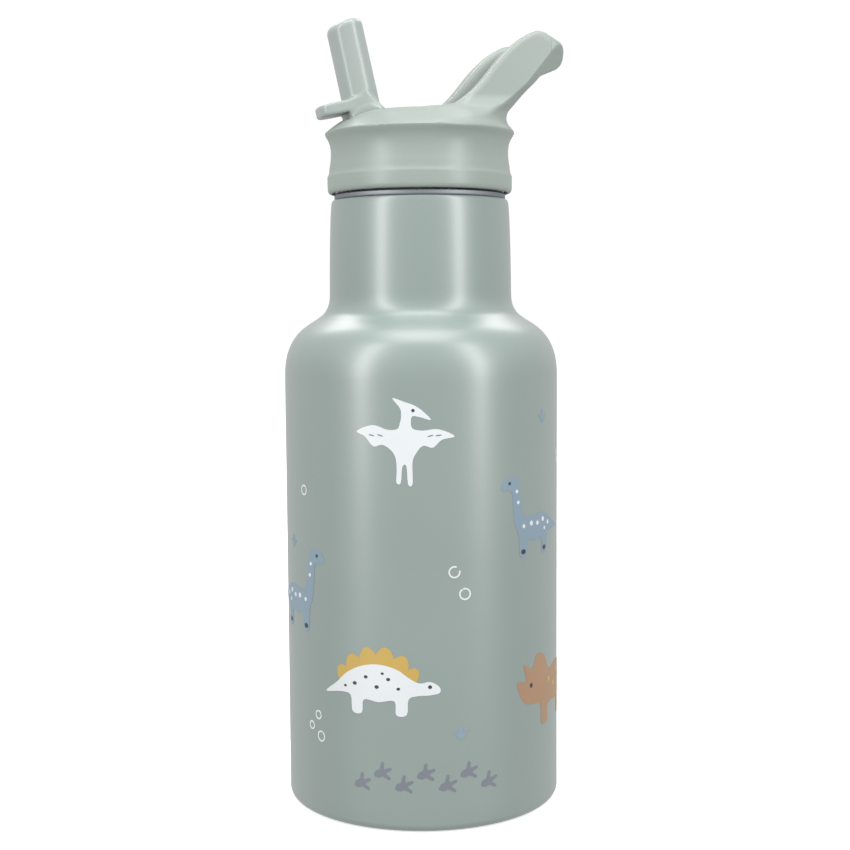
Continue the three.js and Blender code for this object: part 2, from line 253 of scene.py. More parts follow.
def lathe(name, profile, mat, body, replaces=(), seg=192, centre=(0, 0), smooth_angle=35.0):
    """Turns a closed (r, z) profile in millimetres about Z. Points at r = 0 become one pole vertex."""
    prof = [tuple(map(float, p)) for p in profile]
    area = sum(prof[i][0] * prof[(i + 1) % len(prof)][1] - prof[(i + 1) % len(prof)][0] * prof[i][1] for i in range(len(prof)))
    if area < 0:
        prof.reverse()
    verts, rings = [], []
    for r, z in prof:
        if r < 1e-6:
            rings.append([len(verts)] * seg)
            verts.append((centre[0] * MM, centre[1] * MM, z * MM))
        else:
            base = len(verts)
            rings.append([base + k for k in range(seg)])
            for k in range(seg):
                a = 2 * math.pi * k / seg
                verts.append(((r * math.cos(a) + centre[0]) * MM, (r * math.sin(a) + centre[1]) * MM, z * MM))
    faces = []
    m = len(prof)
    for i in range(m):
        j = (i + 1) % m
        if prof[i][0] < 1e-6 and prof[j][0] < 1e-6:
            continue
        A, B = rings[i], rings[j]
        for k in range(seg):
            n = (k + 1) % seg
            f = [A[k], A[n], B[n], B[k]]
            f = list(dict.fromkeys(f))
            if len(f) > 2:
                faces.append(f)
    return make(name, verts, faces, mat, body, replaces, smooth_angle)


# ---- fields on a grid: distance in millimetres, negative inside
def poly_sdf(poly, P, Q):
    """Signed distance to a closed polygon, evaluated at arrays P, Q."""
    poly = np.asarray(poly, float)
    d = np.full(P.shape, 1e9)
    s = np.ones(P.shape, bool)
    n = len(poly)
    for i in range(n):
        a, b = poly[i], poly[(i + 1) % n]
        ex, ey = b - a
        wx, wy = P - a[0], Q - a[1]
        t = np.clip((wx * ex + wy * ey) / max(ex * ex + ey * ey, 1e-12), 0, 1)
        d = np.minimum(d, (wx - ex * t) ** 2 + (wy - ey * t) ** 2)
        c = (a[1] > Q) != (b[1] > Q)
        if abs(ey) > 1e-12:
            s ^= c & (P < ex * (Q - a[1]) / ey + a[0])
    return np.where(s, 1, -1) * np.sqrt(d)


class Table:
    """A polygon's distance field sampled once and read back by bilinear interpolation."""

    def __init__(self, poly, lo, hi, step=0.1):
        self.lo, self.step = np.array(lo, float), step
        n = [int((hi[k] - lo[k]) / step) + 2 for k in (0, 1)]
        P, Q = np.meshgrid(lo[0] + step * np.arange(n[0]), lo[1] + step * np.arange(n[1]), indexing="ij")
        self.f = poly_sdf(poly, P, Q)

    def __call__(self, p, q):
        x = np.clip((p - self.lo[0]) / self.step, 0, self.f.shape[0] - 1.001)
        y = np.clip((q - self.lo[1]) / self.step, 0, self.f.shape[1] - 1.001)
        i, j = x.astype(int), y.astype(int)
        a, b = x - i, y - j
        f = self.f
        return (f[i, j] * (1 - a) + f[i + 1, j] * a) * (1 - b) + (f[i, j + 1] * (1 - a) + f[i + 1, j + 1] * a) * b


def smin(a, b, k):
    h = np.maximum(k - np.abs(a - b), 0) / k
    return np.minimum(a, b) - h * h * k / 4


def smax(a, b, k):
    return -smin(-a, -b, k)


def surface(field, lo, hi, step):
    """Naive surface nets over a sampled field, then each vertex is walked onto the surface."""
    n = [int(math.ceil((hi[k] - lo[k]) / step)) + 1 for k in range(3)]
    ax = [lo[k] + step * np.arange(n[k]) for k in range(3)]
    F = np.empty(n, np.float32)
    for i0 in range(0, n[0], 16):
        X, Y, Z = np.meshgrid(ax[0][i0:i0 + 16], ax[1], ax[2], indexing="ij")
        F[i0:i0 + 16] = field(X, Y, Z)
    S = F < 0
    c = [n[0] - 1, n[1] - 1, n[2] - 1]
    corner = np.zeros(c, np.uint8)
    for dx in (0, 1):
        for dy in (0, 1):
            for dz in (0, 1):
                corner += S[dx:dx + c[0], dy:dy + c[1], dz:dz + c[2]]
    act = (corner > 0) & (corner < 8)
    ids = -np.ones(c, np.int64)
    cells = np.argwhere(act)
    ids[act] = np.arange(len(cells))
    acc = np.zeros((len(cells), 3))
    cnt = np.zeros(len(cells))
    I, J, K = cells.T
    corners = [(a, b, d) for a in (0, 1) for b in (0, 1) for d in (0, 1)]
    for a in range(8):
        for b in range(a + 1, 8):
            if sum(abs(corners[a][k] - corners[b][k]) for k in range(3)) != 1:
                continue
            fa = F[I + corners[a][0], J + corners[a][1], K + corners[a][2]].astype(float)
            fb = F[I + corners[b][0], J + corners[b][1], K + corners[b][2]].astype(float)
            x = (fa < 0) != (fb < 0)
            t = np.where(x, fa / np.where(x, fa - fb, 1), 0)
            pa, pb = np.array(corners[a]), np.array(corners[b])
            acc += np.where(x[:, None], pa + t[:, None] * (pb - pa), 0)
            cnt += x
    V = np.array(lo) + step * (cells + acc / cnt[:, None])
    for _ in range(3):
        f0 = field(V[:, 0], V[:, 1], V[:, 2])
        h = 0.05
        g = np.stack([field(V[:, 0] + h, V[:, 1], V[:, 2]) - field(V[:, 0] - h, V[:, 1], V[:, 2]),
                      field(V[:, 0], V[:, 1] + h, V[:, 2]) - field(V[:, 0], V[:, 1] - h, V[:, 2]),
                      field(V[:, 0], V[:, 1], V[:, 2] + h) - field(V[:, 0], V[:, 1], V[:, 2] - h)], -1) / (2 * h)
        gg = np.maximum((g ** 2).sum(-1), 0.25)
        mv = -(f0 / gg)[:, None] * g
        ln = np.linalg.norm(mv, axis=-1, keepdims=True)
        V = V + mv * np.minimum(1, 0.4 * step / np.maximum(ln, 1e-9))
    faces = []
    for axis in range(3):
        o1, o2 = (axis + 1) % 3, (axis + 2) % 3
        sl0 = [slice(None)] * 3
        sl1 = [slice(None)] * 3
        sl0[axis], sl1[axis] = slice(0, n[axis] - 1), slice(1, n[axis])
        cross = S[tuple(sl0)] != S[tuple(sl1)]
        e = np.argwhere(cross)
        ok = (e[:, o1] > 0) & (e[:, o1] < n[o1] - 1) & (e[:, o2] > 0) & (e[:, o2] < n[o2] - 1)
        e = e[ok]
        inside = S[tuple(e.T)]
        q = []
        for d1, d2 in ((-1, -1), (0, -1), (0, 0), (-1, 0)):
            w = e.copy()
            w[:, o1] += d1
            w[:, o2] += d2
            q.append(ids[tuple(w.T)])
        q = np.stack(q, -1)
        q[~inside] = q[~inside][:, ::-1]
        faces.append(q)
    return V * MM, np.concatenate(faces)


# ------------------------------------------------------------------ flask
R = 35.0
shoulder = catmull([(35.0, 104), (35.0, 108), (34.93, 110.8), (34.65, 113.2), (34.1, 115.3), (33.2, 117.4), (32.0, 119.2), (30.4, 120.85),
                    (28.5, 122.25), (26.6, 123.45), (24.95, 124.75), (24.0, 126.15), (23.5, 127.6), (23.32, 129.2), (23.28, 131.5)], 4)
outer = fillet([(30.6, 1.9), (30.75, 0.0), (35.0, 0.0), (35.0, 12)], {1: 0.75, 2: 2.3}, closed=False, n=10)[:-1]
outer += [(35.0, z) for z in (6, 20, 40, 60, 80, 96)] + shoulder + [(23.26, 134), (23.2, 138), (23.12, 142), (23.0, 146), (22.88, 149.2), (22.75, 151.2)]
outer += [(22.66, 152.2), (22.55, 152.9), (22.4, 153.25), (22.2, 153.45)]
skin = [p for p in outer if p[1] > 30 and p[1] < 151]
inner = []
for i in range(len(skin)):
    a, c = skin[max(i - 1, 0)], skin[min(i + 1, len(skin) - 1)]
    l = math.hypot(c[0] - a[0], c[1] - a[1])
    inner.append((skin[i][0] - 0.5 * (c[1] - a[1]) / l, skin[i][1] + 0.5 * (c[0] - a[0]) / l))
inner = [(21.75, 153.45), (21.75, 152.2), (22.0, 151.2)] + inner[::-1] + [(34.5, 2.6), (33.8, 1.0), (32.8, 0.55), (31.6, 0.5), (31.2, 0.8), (31.1, 1.9)]
lathe("shell_coated", outer + inner, MAT["coat"], "bottle", ["outer_shell", "outer_shoulder", "outer_neck"], seg=256)

# steel inner flask, its bare mouth rim and the thread on the mouth wall
liner_out = [(0, 6.2), (7, 6.2), (9, 6.0)] + catmull([(26.5, 6.0), (29.0, 6.35), (30.9, 7.8), (31.8, 9.8), (32.0, 12.2)], 4) + [(32, 60), (32, 102)]
liner_out += catmull([(32.0, 106), (31.7, 110.2), (30.6, 114.3), (28.6, 117.6), (25.6, 120.3), (22.9, 122.5), (21.3, 125.0), (20.65, 128.3), (20.5, 132)], 4) + [(20.5, 150.4)]
liner_out += catmull([(20.55, 151.4), (20.9, 152.5), (21.35, 153.25), (21.7, 153.55), (21.82, 153.9)], 3)
liner_out += fillet([(21.82, 154.2), (21.82, 155.0), (20.0, 155.0), (20.0, 151.5)], {1: 0.4, 2: 0.5}, closed=False, n=6)
liner_in = [(20.0, 148.5), (20.03, 134)] + catmull([(20.05, 130), (20.3, 127.2), (21.0, 124.6), (22.6, 122.1), (25.3, 119.95), (28.2, 117.3), (30.15, 114.1), (31.25, 110.1), (31.55, 106)], 4)
liner_in += [(31.55, 60), (31.55, 12.2)] + catmull([(31.35, 10.0), (30.5, 8.1), (28.7, 6.85), (26.4, 6.45)], 3) + [(9, 6.45), (7, 6.65), (0, 6.65)]
lathe("liner_steel", liner_out + liner_in, MAT["steel"], "bottle", ["inner_liner", "inner_shoulder", "inner_neck"], seg=192)


def thread(name, r_wall, height, z0, pitch, turns, half, mat, body, inward=True, seg=96):
    """A rolled thread: a soft triangular ridge that fades in and out at its ends, bedded 0.15 mm in the wall."""
    sgn = -1 if inward else 1
    sect = [(-0.15, -half), (0.0, -half), (0.35, -half * 0.72), (0.8, -half * 0.32), (1.0, 0.0), (0.8, half * 0.32), (0.35, half * 0.72), (0.0, half), (-0.15, half)]
    total = int(seg * turns)
    verts, faces = [], []
    m = len(sect)
    for k in range(total + 1):
        t = k / total
        a = 2 * math.pi * turns * t
        fade = min(1.0, min(t, 1 - t) * turns * 8)
        fade = 0.08 + 0.92 * fade * fade * (3 - 2 * fade)
        for u, v in sect:
            h = u * height * fade if u > 0 else u
            r = r_wall + sgn * h
            verts.append((r * math.cos(a) * MM, r * math.sin(a) * MM, (z0 + pitch * turns * t + v * (0.4 + 0.6 * fade)) * MM))
    for k in range(total):
        for i in range(m):
            j = (i + 1) % m
            q = (k * m + i, k * m + j, (k + 1) * m + j, (k + 1) * m + i)
            faces.append(q if inward else q[::-1])
    cap = tuple(range(m))
    faces.append(cap[::-1] if inward else cap)
    faces.append(tuple(total * m + i for i in (cap if inward else cap[::-1])))
    return make(name, verts, faces, mat, body)


thread("mouth_thread", 20.02, 0.72, 143.6, 4.2, 1.6, 1.25, MAT["steel"], "bottle", inward=True)

lathe("base_disc", fillet([(0, 1.35), (21.5, 1.35), (24.8, 0.75), (30.15, 0.75), (30.15, 1.25), (25.0, 1.25), (21.7, 1.85), (0, 1.85)], {1: 3, 2: 3, 3: 0.2, 4: 0.2, 5: 3, 6: 3}, n=5),
      MAT["coat"], "bottle", ["base_cover"], seg=160)
lathe("jacket_bottom", fillet([(0, 2.8), (33.5, 2.8), (34.1, 2.8), (34.1, 3.3), (33.5, 3.3), (0, 3.3)], {2: 0.2, 3: 0.2}, n=3), MAT["steel"], "bottle", ["outer_bottom"], seg=128)
lathe("vacuum_bead", [(0, 2.0), (1.2, 2.0), (1.7, 2.1), (1.9, 2.3), (1.6, 2.48), (1.0, 2.55), (0, 2.58)], MAT["dull"], "bottle", ["vacuum_seal"], seg=32)
lathe("getter_pellet", fillet([(0, 3.8), (5, 3.8), (5, 5.5), (0, 5.5)], {1: 0.5, 2: 0.5}, n=4), MAT["dull"], "bottle", ["getter"], seg=48, centre=(14, 0))

# ------------------------------------------------------------------ lid inner parts
lathe("gasket_ring", fillet([(18.6, 155.3), (21.6, 155.3), (21.6, 158.65), (20.6, 158.65), (20.3, 158.45), (20.0, 158.65), (18.6, 158.65)], {0: 0.35, 1: 0.45, 2: 0.4, 6: 0.35}, n=4),
      MAT["silicone"], "lid_seal", ["main_gasket"], seg=160)

BODY_LID = "lid"
STRAW_X, VENT_X = -12.5, 8.0


def carve_lathe_with_holes(name, prof, holes, step, mat, replaces, lo, hi, extra=None):
    tab = Table(prof, (-1, lo[2] - 1), (max(hi[0], hi[1]) + 2, hi[2] + 1), 0.08)

    def f(X, Y, Z):
        d = tab(np.hypot(X, Y), Z)
        for (x, r) in holes:
            d = smax(d, r - np.hypot(X - x, Y), 0.4)
        if extra:
            d = extra(X, Y, Z, d)
        return d

    v, q = surface(f, lo, hi, step)
    return make(name, v, q, mat, BODY_LID, replaces, smooth_angle=55)


insert_prof = fillet([(-3, 153), (16.8, 153), (16.8, 142), (17.6, 142), (17.6, 158.9), (21.9, 158.9), (21.9, 160.0), (21.0, 160.2), (21.0, 163.2), (-3, 163.2)],
                     {1: 0.8, 2: 0.3, 3: 0.4, 4: 0.5, 5: 0.3, 6: 0.2, 8: 0.4}, n=4)


carve_lathe_with_holes("insert_threaded", insert_prof, [(STRAW_X, 3.2), (VENT_X, 2.5)], 0.5, MAT["insert"], ["threaded_insert"],
                       (-23, -23, 141), (23, 23, 164.2))
thread("insert_thread", 17.58, 0.6, 144.0, 4.2, 1.6, 1.2, MAT["insert"], "lid", inward=False)

lathe("spout_seal_ring", fillet([(2.7, 163.9), (4.2, 163.9), (4.2, 166.5), (3.8, 167.1), (3.1, 167.1), (2.7, 166.6)], 0.22, n=3), MAT["silicone"], "lid", ["spout_seal"], seg=48, centre=(STRAW_X, 0))
lathe("straw_socket", fillet([(3.35, 146), (4.0, 146), (4.0, 152.7), (2.9, 152.7), (2.9, 163.0), (2.0, 163.0), (2.0, 152.2), (3.35, 152.2)], {0: 0.2, 1: 0.25, 2: 0.3, 4: 0.2}, n=3),
      MAT["silicone"], "lid", ["straw_connector"], seg=48, centre=(STRAW_X, 0))
lathe("vent_duckbill", fillet([(0, 150.4), (0.8, 150.4), (1.7, 152.0), (4.0, 152.2), (4.0, 152.8), (2.2, 152.9), (2.2, 163.0), (0, 163.0)], {1: 0.3, 2: 0.6, 3: 0.2, 4: 0.2, 6: 0.3}, n=3),
      MAT["silicone"], "lid", ["air_vent_valve"], seg=48, centre=(VENT_X, 0))


def build_straw():
    seg, n = 48, 60
    verts, faces = [], []
    for side, r in ((0, 3.1), (1, 2.5)):
        for k in range(n + 1):
            for i in range(seg):
                a = 2 * math.pi * i / seg
                x, y = r * math.cos(a), r * math.sin(a)
                bottom = 11.0 - x * math.tan(0.55)
                bottom = max(bottom, 9.05)
                z = bottom + (152.0 - bottom) * k / n
                verts.append(((x + STRAW_X) * MM, y * MM, z * MM))
    half = (n + 1) * seg
    for k in range(n):
        for i in range(seg):
            j = (i + 1) % seg
            a, b, c, d = k * seg + i, k * seg + j, (k + 1) * seg + j, (k + 1) * seg + i
            faces.append((a, b, c, d))
            faces.append((half + d, half + c, half + b, half + a))
    for i in range(seg):
        j = (i + 1) % seg
        faces.append((i, half + i, half + j, j))
        t = n * seg
        faces.append((t + j, half + t + j, half + t + i, t + i))
    make("drinking_straw", verts, faces, MAT["straw"], "lid", ["straw"])


build_straw()


def pin(name, y0, y1, node_name):
    prof = fillet([(0, y0), (1.2, y0), (1.2, y1), (0, y1)], {1: 0.25, 2: 0.25}, n=4)
    seg = 40
    verts, faces, rings = [], [], []
    for r, y in prof:
        if r < 1e-6:
            rings.append([len(verts)] * seg)
            verts.append((-14 * MM, y * MM, 172 * MM))
        else:
            rings.append(list(range(len(verts), len(verts) + seg)))
            for i in range(seg):
                a = 2 * math.pi * i / seg
                verts.append(((-14 + r * math.cos(a)) * MM, y * MM, (172 + r * math.sin(a)) * MM))
    for i in range(len(prof) - 1):
        for k in range(seg):
            m = (k + 1) % seg
            f = list(dict.fromkeys([rings[i][m], rings[i][k], rings[i + 1][k], rings[i + 1][m]]))
            if len(f) > 2:
                faces.append(f)
    make(name, verts, faces, MAT["pin"], "lid", [node_name])


pin("pin_left", -7.8, -3.1, "hinge_pin_left")
pin("pin_right", 3.1, 7.8, "hinge_pin_right")

# ------------------------------------------------------------------ lid shell with its carry loop
lid_out = catmull([(23.52, 156.3), (23.54, 158.0), (23.54, 159.45)], 3)
lid_prof = [(22.35, 155.2), (22.95, 155.2), (23.3, 155.5), (23.48, 156.0)] + lid_out[1:]
lid_prof += catmull([(23.33, 159.75), (23.12, 160.5), (22.95, 161.9), (22.72, 163.4), (22.6, 165.0), (22.65, 166.3), (22.85, 167.5), (23.2, 168.5), (23.65, 169.3)], 4)
lid_prof += fillet([(23.65, 169.3), (24.14, 170.25), (23.3, 170.98), (22.0, 171.95)], {1: 0.3}, closed=False, n=4)[1:-1]
lid_prof += catmull([(23.3, 170.98), (22.0, 171.95), (20.5, 172.95), (18.9, 173.85), (17.2, 174.6), (15.4, 175.2), (13.0, 175.6)], 4)[1:]
lid_prof += [(-3, 175.6), (-3, 163.6), (21.3, 163.6), (21.3, 160.5), (22.35, 160.2)]
T_lid = Table(lid_prof, (-2, 152), (42, 202), 0.08)

side = catmull([(-1.5, 174.9), (1.0, 175.4), (3.6, 175.95), (6.4, 177.2), (9.2, 179.15), (11.6, 181.3), (13.8, 183.8), (16.0, 186.5), (18.1, 188.9), (20.4, 191.1), (22.8, 193.0), (25.2, 194.4), (27.2, 195.0), (28.8, 194.75)], 4)
side += catmull([(30.2, 193.9), (32.0, 192.9), (33.6, 191.9), (34.7, 190.7), (35.0, 189.5), (34.8, 188.3), (34.2, 187.1), (33.3, 186.15)], 4)
side += [(31.3, 185.3), (29.4, 184.6), (28.2, 184.1)] + catmull([(27.2, 183.1), (24.6, 179.6), (23.2, 177.4), (22.6, 175.4), (22.8, 173.2)], 4) + [(22.8, 170.8), (-1.5, 170.8)]
T_side = Table(side, (-8, 160), (42, 202), 0.1)
T_flare = Table([(-5, 160), (23.0, 160), (23.3, 168.6), (23.3, 170.4)] + [tuple(p) for p in catmull(
    [(23.0, 171.2), (22.5, 172.0), (22.4, 173.4), (22.7, 175.0), (23.9, 176.6), (25.4, 178.3), (27.4, 180.2), (31.0, 182.6), (38.0, 185.5), (46.0, 189.0)], 4)]
    + [(51, 203), (-5, 203)], (-2, 158), (52, 202), 0.1)
T_slot = Table(fillet([(-19.6, -6), (15.3, -6), (15.3, 6), (-19.6, 6)], {0: 0.6, 1: 2.4, 2: 2.4, 3: 0.6}, n=5), (-40, -32), (42, 32), 0.1)


def box_sdf(X, Y, Z, x0, x1, y0, y1, z0, z1):
    return np.maximum(np.maximum(np.abs(X - (x0 + x1) / 2) - (x1 - x0) / 2, np.abs(Y - (y0 + y1) / 2) - (y1 - y0) / 2), np.abs(Z - (z0 + z1) / 2) - (z1 - z0) / 2)


def lid_field(X, Y, Z):
    rr = np.hypot(X, Y)
    d = T_lid(rr, Z)
    s = T_side(X, Z)
    # outer faces: upright bands higher up, sweeping out into the lid's bevel at the foot
    low = np.maximum(0, 179.0 - Z)
    plan_w = 15.2 + 0.125 * np.minimum(low, 9.0) ** 2
    slope = np.hypot(1.0, 0.25 * np.minimum(low, 9.0))
    band = (np.abs(Y) - plan_w) / slope
    edge_x = np.interp(Z, [170, 172.0, 173.4, 175.0, 176.6, 179.0, 181.6, 184.9, 187.05, 189.4, 191.1, 192.2], [7.0, 11.1, 13.9, 16.3, 18.3, 21.0, 23.5, 26.3, 28.0, 29.9, 31.6, 33.4])
    turn = (np.abs(Y) - plan_w) * 0.82 + (X - edge_x) * 0.57
    corner = np.hypot(np.maximum(X - 30.1, 0), np.maximum(np.abs(Y) - 10.7, 0)) - 4.9
    corner = np.where((X > 30.1) & (np.abs(Y) > 10.7), corner, -1e3)
    arm = smax(smax(s, band, 1.8), turn, 0.25)
    arm = smax(arm, corner, 1.0)
    arm = smax(arm, T_flare(rr, Z), 0.9)
    win = smax(np.abs(Y) - 8.2, np.maximum(X - 28.5, 170 - Z), 3.0)
    arm = smax(arm, -win, 2.2)
    groove = np.hypot(X - 32.3, Z - 186.2) - 1.5
    groove = smax(groove, np.abs(Y) - 10.5, 1.2)
    arm = smax(arm, -groove, 0.7)
    d = smin(d, arm, 1.8)
    pocket = smax(np.maximum(rr - 20.2, Z - 172.2), 8.0 - np.abs(Y), 0.8)
    pocket = np.maximum(pocket, 162.5 - Z)
    d = smax(d, -pocket, 0.5)
    slot = smax(T_slot(X, Y), 167.0 - Z, 0.6)
    d = smax(d, -slot, 0.7)
    d = np.maximum(d, -np.maximum(np.hypot(X - STRAW_X, Y) - 4.5, Z - 169))
    vent = np.maximum(np.hypot(X - VENT_X, Y) - 1.0, Z - 169)
    d = np.maximum(d, -vent)
    pinhole = np.maximum(np.hypot(X + 14, Z - 172) - 1.5, np.abs(Y) - 8.3)
    return np.maximum(d, -pinhole)


STEP_LID = 0.36
v, q = surface(lid_field, (-25.2, -25.2, 154.2), (36.2, 25.2, 196.2), STEP_LID)
make("lid_moulding", v, q, MAT["lid"], "lid", ["lid_shell", "lid_band"], smooth_angle=50)

# ------------------------------------------------------------------ mouthpiece
LEAN = math.radians(12.4)
T_cheek = Table(fillet([(-4.2, 0.3), (4.2, 0.3), (4.62, 3.2), (0.7, 8.4), (-0.6, 7.4), (-3.6, 6.95), (-4.4, 3.9)], {2: 0.5, 3: 0.3}, n=3), (-16, -10), (16, 32), 0.08)


def mouth_field(X, Y, Z):
    # into the mouthpiece's own upright frame
    x0, z0 = X + 14.0, Z - 172.0
    x = x0 * math.cos(LEAN) + z0 * math.sin(LEAN)
    z = -x0 * math.sin(LEAN) + z0 * math.cos(LEAN)
    y = np.abs(Y)
    # stem: a smooth oval, slightly squared
    hx = 4.5 - 0.004 * (z - 6)
    hy = 5.35
    p = 2.35
    e = ((np.abs(x) / hx) ** p + (y / hy) ** p) ** (1 / p)
    stem = (e - 1) * 4.4
    crown = z - (26.45 - 0.055 * (x - 0.9) ** 2 - 0.02 * y * y)
    stem = smax(stem, crown, 1.3)
    stem = np.maximum(stem, -z)
    hub = smax(np.hypot(x, z) - 4.55, y - 5.5, 0.5)
    d = smin(stem, hub, 0.5)
    cheek = smax(T_cheek(x, z), y - 5.4, 0.8)
    d = smin(d, cheek, 0.7)
    tp = smax(smax(y - 5.2, -x - 11.4, 3.4), x + 1.5, 0.3)
    lift = 0.0
    tab = smax(tp, np.abs(z - 5.42 - lift) - 1.53, 0.9)
    # shallow thumb dish on the tab's top
    dish = np.sqrt((x + 8.6) ** 2 * 1.0 + y ** 2 * 0.55 + (z - 12.9) ** 2) - 6.15
    tab = smax(tab, -dish, 0.5)
    d = smin(d, tab, 0.55)
    ch = np.hypot(x, y) - (2.2 + 0.35 * np.clip(z - 26.2, 0, 1.5))
    d = smax(d, -ch, 0.5)
    ph = np.maximum(np.hypot(x, z) - 1.5, 2.9 - y)
    return np.maximum(d, -ph)


v, q = surface(mouth_field, (-28.5, -7, 165.5), (-5, 7, 201.0), 0.22)
make("flip_mouthpiece", v, q, MAT["spout"], "mouthpiece", ["mouthpiece"], smooth_angle=50)


# ------------------------------------------------------------------ printed motifs, thin ink films wrapped on the wall
CAM_AZ = math.radians(-15.5)     # the camera's place round the bottle
CAM_ANGLE = math.atan2(-math.cos(CAM_AZ), math.sin(CAM_AZ))


def wrap(u, z, lift):
    a = CAM_ANGLE + u / R
    r = (R + lift)
    return (r * math.cos(a) * MM, r * math.sin(a) * MM, z * MM)


def film(name, outline, mat, slot, level=0, smooth=True, grid=0.9):
    """A closed thin film with this outline, in millimetres along the wall and up it."""
    pts = outline
    if smooth:
        p = np.array(outline, float)
        out = []
        n = len(p)
        for i in range(n):
            a, b, c, d = p[i - 1], p[i], p[(i + 1) % n], p[(i + 2) % n]
            for k in range(4):
                t = k / 4
                out.append(0.5 * (2 * b + (c - a) * t + (2 * a - 5 * b + 4 * c - d) * t * t + (3 * b - a - 3 * c + d) * t ** 3))
        pts = out
    P = np.array(pts, float)
    # drop points that lie within 0.02 mm of the next one
    seg = np.linalg.norm(np.roll(P, -1, 0) - P, axis=1)
    P = P[seg > 0.02]
    lo, hi = P.min(0), P.max(0)
    gx, gy = np.meshgrid(np.arange(lo[0] + grid / 2, hi[0], grid), np.arange(lo[1] + grid / 2, hi[1], grid * 2), indexing="ij")
    sd = poly_sdf(P, gx, gy)
    inside = np.stack([gx[sd < -0.25], gy[sd < -0.25]], -1)
    allp = [Vector(x) for x in np.vstack([P, inside])]
    n = len(P)
    vs, es, fs, ov, oe, of_ = geometry.delaunay_2d_cdt(allp, [(i, (i + 1) % n) for i in range(n)], [], 0, 1e-5)
    vs = np.array([tuple(x) for x in vs])
    tris = []
    for f in fs:
        c = vs[list(f)].mean(0)
        if poly_sdf(P, c[0:1], c[1:2])[0] < 0:
            a, b, d = (vs[i] for i in f)
            area = (b[0] - a[0]) * (d[1] - a[1]) - (d[0] - a[0]) * (b[1] - a[1])
            if abs(area) > 1e-9:
                tris.append(tuple(f) if area > 0 else tuple(reversed(f)))
    m = len(vs)
    l0, l1 = 0.012 + 0.03 * level, 0.05 + 0.03 * level
    verts = [wrap(x, z, l1) for x, z in vs] + [wrap(x, z, l0) for x, z in vs]
    faces = [t for t in tris] + [tuple(m + i for i in reversed(t)) for t in tris]
    edge = {}
    for t in tris:
        for i in range(3):
            e = (t[i], t[(i + 1) % 3])
            edge[e] = 1
    for (a, b) in list(edge):
        if (b, a) not in edge:
            faces.append((b, a, m + a, m + b))
    return verts, faces


class Print:
    """Collects films of each ink and joins each ink's films of one motif into one piece."""

    def __init__(self, name):
        self.name, self.parts = name, {}

    def add(self, ink, outline, level=0, smooth=True):
        v, f = film(self.name, outline, None, None, level, smooth)
        V, F = self.parts.setdefault(ink, ([], []))
        k = len(V)
        V.extend(v)
        F.extend(tuple(i + k for i in t) for t in f)

    def done(self):
        for ink, (V, F) in self.parts.items():
            make(f"print_{self.name}_{ink}", V, F, MAT["print_" + ink], "bottle", smooth_angle=60)


def disc(cx, cy, rx, ry=None, n=20, turn=0.0):
    ry = rx if ry is None else ry
    out = []
    for i in range(n):
        a = 2 * math.pi * i / n
        x, y = rx * math.cos(a), ry * math.sin(a)
        out.append((cx + x * math.cos(turn) - y * math.sin(turn), cy + x * math.sin(turn) + y * math.cos(turn)))
    return out


def place(points, x, y, s=1.0, flip=False, turn=0.0):
    out = []
    for px, py in points:
        px = -px if flip else px
        a, b = px * s, py * s
        out.append((x + a * math.cos(turn) - b * math.sin(turn), y + a * math.sin(turn) + b * math.cos(turn)))
    return out[::-1] if flip else out


# motif outlines, drawn facing +x, about 24 mm across
LONGNECK = [(-13, 1.5), (-9, 3.2), (-6, 4.8), (-2.5, 5.7), (1, 5.2), (3.4, 5.4), (4.6, 8.0), (5.0, 11.0), (5.6, 13.2), (7.2, 14.3), (9.3, 13.7), (10.4, 12.5), (10.0, 11.5),
            (8.4, 11.4), (7.4, 10.6), (7.1, 7.5), (6.6, 4.0), (5.4, 1.2), (5.0, -3.2), (2.9, -3.3), (2.6, 0.0), (-0.4, -0.4), (-2.8, -0.1), (-3.2, -3.3), (-5.3, -3.3), (-5.8, 0.4), (-8.6, 1.2)]
PLATED = [(-13.5, -0.8), (-10.4, 1.6), (-7.6, 4.1), (-4, 5.9), (0, 6.5), (4, 5.6), (7, 3.6), (9.0, 2.7), (11.3, 3.0), (13.2, 1.9), (13.3, 0.6), (11.2, 0.1), (8.3, -0.1),
          (6.6, -0.9), (6.2, -4.2), (3.9, -4.3), (3.5, -1.3), (0, -1.7), (-3.4, -1.4), (-3.9, -4.3), (-6.2, -4.2), (-6.7, -0.7), (-9.4, -0.3)]
HORNED = [(-12, -1.2), (-9.4, 2.2), (-6, 4.7), (-2, 5.4), (2, 4.7), (3.9, 7.4), (6.5, 8.1), (8.0, 5.8), (10.3, 6.9), (9.7, 4.0), (11.9, 4.0), (11.1, 1.5), (9.5, 0.0), (6.9, -0.4),
          (5.3, -1.0), (5.0, -4.3), (2.8, -4.3), (2.4, -1.5), (-2.6, -1.6), (-3.2, -4.3), (-5.5, -4.3), (-6.1, -1.0), (-9.2, -0.9)]
FLYER = [(12.2, 1.2), (8.2, 3.0), (4.4, 2.7), (1.9, 3.2), (1.5, 5.0), (1.9, 6.2), (3.6, 6.0), (6.4, 5.3), (4.2, 7.6), (2.2, 8.9), (0.2, 9.6), (-3.0, 10.6), (-1.2, 8.2), (-0.9, 6.4), (-1.2, 4.6), (-1.9, 3.1),
         (-4.4, 2.9), (-8.2, 4.0), (-12.4, 2.4), (-10.2, 1.2), (-8.0, -1.2), (-5.6, -0.8), (-3.4, -2.2), (-2.3, -4.2), (-2.1, -7.4), (-2.2, -10.0), (-1.1, -10.1), (-0.7, -6.2), (0.3, -6.0), (0.7, -10.4), (1.8, -10.3),
         (1.8, -5.2), (2.6, -3.0), (4.4, -1.0), (6.8, -1.5), (9.0, 0.4)]


